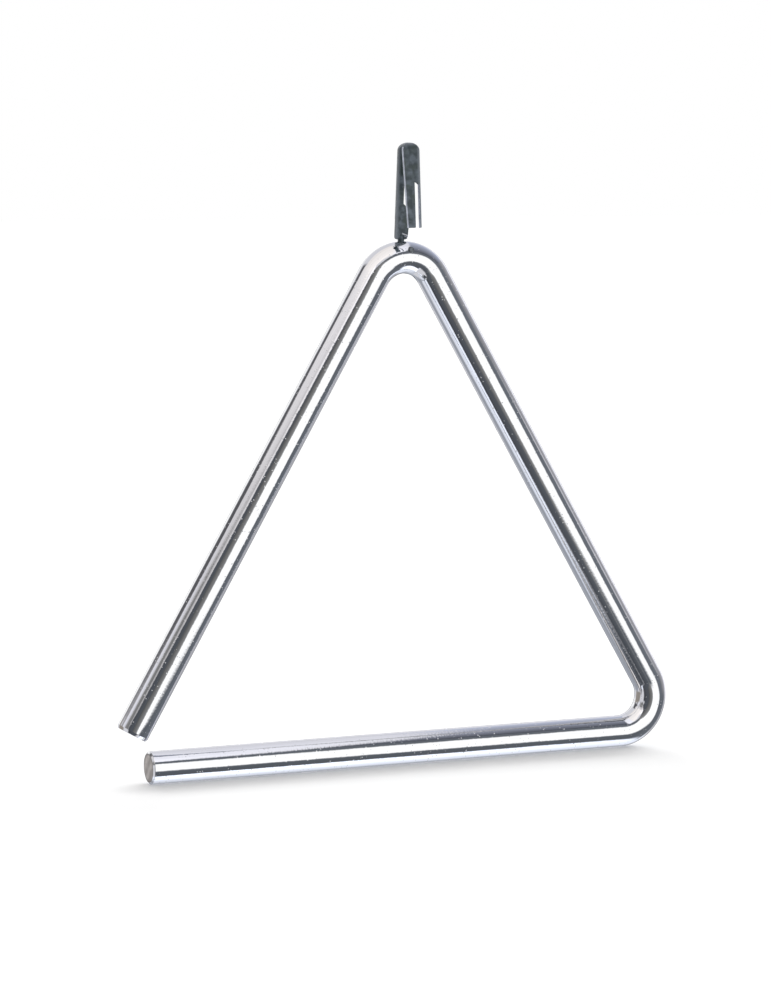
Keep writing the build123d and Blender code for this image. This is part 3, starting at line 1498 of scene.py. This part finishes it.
@dataclass
class Studio:
    """A white studio: floor, even sky, a fan of soft back lights and the dome that the chrome mirrors."""

    centre: Vector
    floor_height: float
    floor_size: float = 12.0
    floor_colour: Colour = (0.96, 0.96, 0.96)
    floor_lift: float = 0.1
    sky_colour: Colour = (1.0, 1.0, 1.0)
    sky_level: float = 0.62
    backdrop_level: float = 1.0
    back_light_share: float = 0.42
    back_light_count: int = 7
    back_light_azimuths: Span = (104.0, 180.0)
    back_light_elevation: float = 27.5
    back_light_spread: float = 28.0
    dome_radius: float = 1.2
    dome_segments: int = 96
    dome_rings: int = 48
    dome_colour: Colour = (0.72, 0.72, 0.76)
    lowest_ceiling_share: float = 0.01
    patches: tuple[DomePatch, ...] = (
        # The left wall and what stands before it
        DomePatch(
            "left_wall", across=(-124, -36), upwards=(14, 46), levels=(0.22, 1.02),
            softness=4, tint=Tint.ROSE, fade=Fade.UPWARDS,
        ),
        DomePatch(
            "left_gleam", across=(-110, -88), upwards=(10, 30), levels=(0.9, 0.66),
            softness=4, tint=Tint.LAVENDER,
        ),
        DomePatch("left_shade", across=(-84, -64), upwards=(10, 30), levels=(0.27, 0.19), softness=3),
        # Behind the object, on its left
        DomePatch("back_left_gleam", across=(-200, -150), upwards=(-5, 22), levels=(1.1, 1.05), softness=6),
        DomePatch(
            "back_left_brown", across=(-150, -103), upwards=(-28, 14), levels=(0.3, 0.28),
            softness=4, tint=Tint.BROWN,
        ),
        # The floor of the room
        DomePatch(
            "left_floor", across=(-131, -64), upwards=(-90, -40), levels=(0.72, 1.15),
            softness=5, tint=Tint.COOL,
        ),
        DomePatch(
            "left_floor_fade", across=(-134, -66), upwards=(-54.5, -50), levels=(0, 0.85),
            softness=1.5, tint=Tint.COOL, fade=Fade.UPWARDS,
        ),
        DomePatch(
            "left_floor_shade", across=(-84, -40), upwards=(-66, -51.4), levels=(0.11, 0.07),
            softness=1.5, tint=Tint.SLATE, tilt=0.16,
        ),
        DomePatch(
            "back_left_floor", across=(-180, -126), upwards=(-56, -26), levels=(0.45, 0.33),
            softness=6, tint=Tint.COOL,
        ),
        DomePatch(
            "right_floor", across=(5, 172), upwards=(-95, -40), levels=(1.6, 0.6),
            softness=3, tint=Tint.COOL,
        ),
        DomePatch(
            "back_floor", across=(132, 186), upwards=(-55, -25), levels=(0.5, 0.5),
            softness=4, tint=Tint.COOL,
        ),
        # The dark room in front
        DomePatch(
            "low_dark", across=(-70, 101), upwards=(-49, 4), levels=(0.055, 0.17),
            softness=4, tint=Tint.SLATE,
        ),
        DomePatch(
            "floor_edge", across=(6, 52), upwards=(-52.5, -36), levels=(0.1, 0.13),
            softness=2.5, tint=Tint.SLATE, tilt=0.41,
        ),
        DomePatch(
            "high_dark", across=(-58, 75), upwards=(-30, 42), levels=(0.08, 0.18),
            softness=3, tint=Tint.SLATE, tilt=0.3,
        ),
        DomePatch(
            "left_wall_edge", across=(-62, -30), upwards=(25, 36), levels=(0.38, 1.44),
            softness=2.5, tint=Tint.ROSE, tilt=0.33,
        ),
        # The right wall
        DomePatch(
            "right_low", across=(104, 140), upwards=(-36, -10), levels=(0.45, 0.38),
            softness=4, tint=Tint.LAVENDER,
        ),
        DomePatch(
            "right_wall", across=(74, 116), upwards=(-10, 40), levels=(0.2, 0.5),
            softness=4, tint=Tint.LAVENDER,
        ),
        DomePatch(
            "right_gap", across=(76, 86), upwards=(5, 14), levels=(0.6, 0.6),
            softness=2, tint=Tint.LAVENDER,
        ),
        DomePatch(
            "back_right", across=(116, 165), upwards=(-14, 22), levels=(1.05, 1.0),
            softness=5, tint=Tint.LAVENDER,
        ),
        # The left wall's dark back edge and its top
        DomePatch(
            "back_left_dark", across=(-148, -111), upwards=(19, 42.5), levels=(0.12, 0.1),
            softness=4, tint=Tint.LAVENDER, tilt=0.4,
        ),
        DomePatch(
            "left_wall_top", across=(-121.5, -98), upwards=(33, 46), levels=(0.8, 0.8),
            softness=3, tint=Tint.ROSE,
        ),
        # The ceiling
        DomePatch(
            "right_ceiling", across=(-0.85, 1.3), upwards=(0.46, 1.9), levels=(0.08, 0.66),
            softness=0.03, tint=Tint.BLUE, chart=Chart.CEILING,
        ),
        DomePatch(
            "middle_ceiling", across=(-0.95, 0), upwards=(0.05, 0.43), levels=(1.12, 0.9),
            softness=0.08, tint=Tint.LAVENDER, chart=Chart.CEILING,
        ),
        DomePatch(
            "left_ceiling", across=(-0.95, 0.45), upwards=(-1.15, 0.1), levels=(1.1, 0.85),
            softness=0.08, tint=Tint.WARM, chart=Chart.CEILING,
        ),
        DomePatch(
            "back_ceiling", across=(0, 1.4), upwards=(0.2, 0.56), levels=(0.85, 0.7),
            softness=0.04, tint=Tint.LAVENDER, chart=Chart.CEILING, tilt=0.2,
        ),
        # The lamp behind, in its dark surround
        DomePatch(
            "back_surround", across=(138, 178), upwards=(-36, 11), levels=(0.12, 0.12),
            softness=3, tint=Tint.SLATE,
        ),
        DomePatch("back_box", across=(147, 169), upwards=(-27, 4), levels=(1.2, 1.2), softness=3),
        # The soft box in front
        DomePatch("soft_box_edge", across=(-28, 0), upwards=(-30, 33), levels=(0.1, 0.28), softness=4),
        DomePatch(
            "soft_box", across=(-1, 45.5), upwards=(-19.5, 28.5), levels=(1.25, 1.15),
            softness=4, bow=4,
        ),
        DomePatch(
            "soft_box_corner", across=(28, 50.5), upwards=(-22, -8), levels=(1.2, 1.15),
            softness=3, tilt=-0.3,
        ),
    )

    def build(self) -> None:
        """Builds the floor, the sky, the back lights and the dome."""
        self.build_floor()
        self.build_sky()
        self.build_back_lights()
        self.build_dome()

    def build_floor(self) -> None:
        """Lays the pale floor, which the camera sees a little brighter than the light alone makes it."""
        clear_selection()
        bpy.ops.mesh.primitive_plane_add(size=self.floor_size, location=(0, 0, self.floor_height))
        floor = start_piece("floor")
        material, sheet = new_material("floor_white")
        seen = sheet.add("LightPath").outputs["Is Camera Ray"]
        white = sheet.add("BsdfDiffuse", {"Color": (*self.floor_colour, 1)})
        lift = sheet.add("Emission", {"Strength": sheet.maths("MULTIPLY", seen, self.floor_lift)})
        both = sheet.add("AddShader", {0: white.outputs[0], 1: lift.outputs[0]})
        sheet.add("OutputMaterial", {"Surface": both.outputs[0]})
        material.cycles.emission_sampling = "NONE"
        floor.data.materials.append(material)
        floor.visible_glossy = False

    def build_sky(self) -> None:
        """Makes the even sky, which the camera sees as white."""
        world = bpy.data.worlds.new("studio_sky")
        bpy.context.scene.world = world
        world.use_nodes = True
        sheet = NodeSheet(world.node_tree)
        path = sheet.add("LightPath").outputs
        colour = (*self.sky_colour, 1)
        light = sheet.add("Background", {"Color": colour, "Strength": self.sky_level})
        backdrop = sheet.add("Background", {"Color": colour, "Strength": self.backdrop_level})
        seen = sheet.maths("MAXIMUM", path["Is Camera Ray"], path["Is Transmission Ray"])
        either = sheet.add("MixShader", {0: seen, 1: light.outputs[0], 2: backdrop.outputs[0]})
        sheet.add("OutputWorld", {"Surface": either.outputs[0]})

    def build_back_lights(self) -> None:
        """Hangs a fan of wide soft lights behind the object, which cast the shadow below its bar."""
        first, last = self.back_light_azimuths
        for number in range(self.back_light_count):
            azimuth = first + (last - first) * number / (self.back_light_count - 1)
            way = look_from(azimuth, self.back_light_elevation)
            clear_selection()
            bpy.ops.object.light_add(type="SUN", location=self.centre + way)
            light = bpy.context.object
            light.name = f"back_light_{number}"
            light.rotation_euler = (-way).to_track_quat("-Z", "Y").to_euler()
            light.data.energy = math.pi * self.back_light_share / self.back_light_count / way.z
            light.data.angle = math.radians(self.back_light_spread)
            light.visible_glossy = False

    def build_dome(self) -> None:
        """Builds the glowing dome round the object, which shows only in glossy surfaces."""
        clear_selection()
        bpy.ops.mesh.primitive_uv_sphere_add(
            segments=self.dome_segments,
            ring_count=self.dome_rings,
            radius=self.dome_radius,
            location=self.centre,
        )
        dome = start_piece("mirrored_dome")
        material, sheet = new_material("mirrored_dome")
        place = sheet.add("TexCoord").outputs["Object"]
        way = sheet.add("VectorMath", {0: place, 1: self.centre}, operation="SUBTRACT").outputs[0]
        x, y, z = sheet.add("SeparateXYZ", {0: way}).outputs
        squares = (sheet.maths("POWER", part, 2) for part in (x, y))
        level = sheet.maths("SQRT", sheet.maths("ADD", *squares))
        azimuth = sheet.maths("DEGREES", sheet.maths("ARCTAN2", x, sheet.maths("MULTIPLY", y, -1)))
        elevation = sheet.maths("DEGREES", sheet.maths("ARCTAN2", z, level))
        height = sheet.maths("MAXIMUM", z, self.lowest_ceiling_share * self.dome_radius)
        charts = {
            Chart.WALL: (azimuth, elevation),
            Chart.CEILING: (sheet.maths("DIVIDE", y, height), sheet.maths("DIVIDE", x, height)),
        }
        colour = self.dome_colour
        for patch in self.patches:
            colour = patch.paint(sheet, charts, colour)
        shader = sheet.add("Emission", {"Color": colour})
        sheet.add("OutputMaterial", {"Surface": shader.outputs[0]})
        material.cycles.emission_sampling = "NONE"
        dome.data.materials.append(material)
        dome.visible_camera = False
        dome.visible_diffuse = False
        dome.visible_transmission = False
        dome.visible_shadow = False


@dataclass
class PhotoCamera:
    """A camera at the photograph's viewing angle."""

    rod_top: Vector
    aim_side: float = -0.004035
    aim_drop: float = 0.06304
    distance: float = 0.75525
    azimuth: float = -22.52
    elevation: float = 6.38
    lens: float = 111.25
    sensor: float = 36.0

    def build(self) -> None:
        """Places the camera and makes it the scene's."""
        clear_selection()
        aim = self.rod_top + Vector((self.aim_side, 0, -self.aim_drop))
        way = look_from(self.azimuth, self.elevation)
        bpy.ops.object.camera_add(location=aim + way * self.distance)
        camera = bpy.context.object
        camera.name = "photo_camera"
        camera.rotation_euler = (-way).to_track_quat("-Z", "Y").to_euler()
        camera.data.lens = self.lens
        camera.data.sensor_width = self.sensor
        bpy.context.scene.camera = camera


def main() -> None:
    """Builds the triangle's pieces, its studio and its camera."""
    logging.basicConfig(level=logging.INFO, format="%(name)s: %(message)s")
    swivel = next(joint for joint in frame["joints"] if joint["name"] == "hanger_swivel")
    fit = SwivelFit(rod_top=Vector(swivel["pos_m"]))
    rod = BentRod(fit)
    for part in (rod, HangerHook(fit), RetainingPin(fit, rod.radius)):
        piece = part.build()
        part.dress(piece)
    low, high = (Vector(corner) for corner in cad_box)
    Studio(centre=(low + high) / 2, floor_height=low.z).build()
    PhotoCamera(fit.rod_top).build()
    bpy.context.scene.view_settings.view_transform = "Standard"


if __name__ == "__main__":
    main()
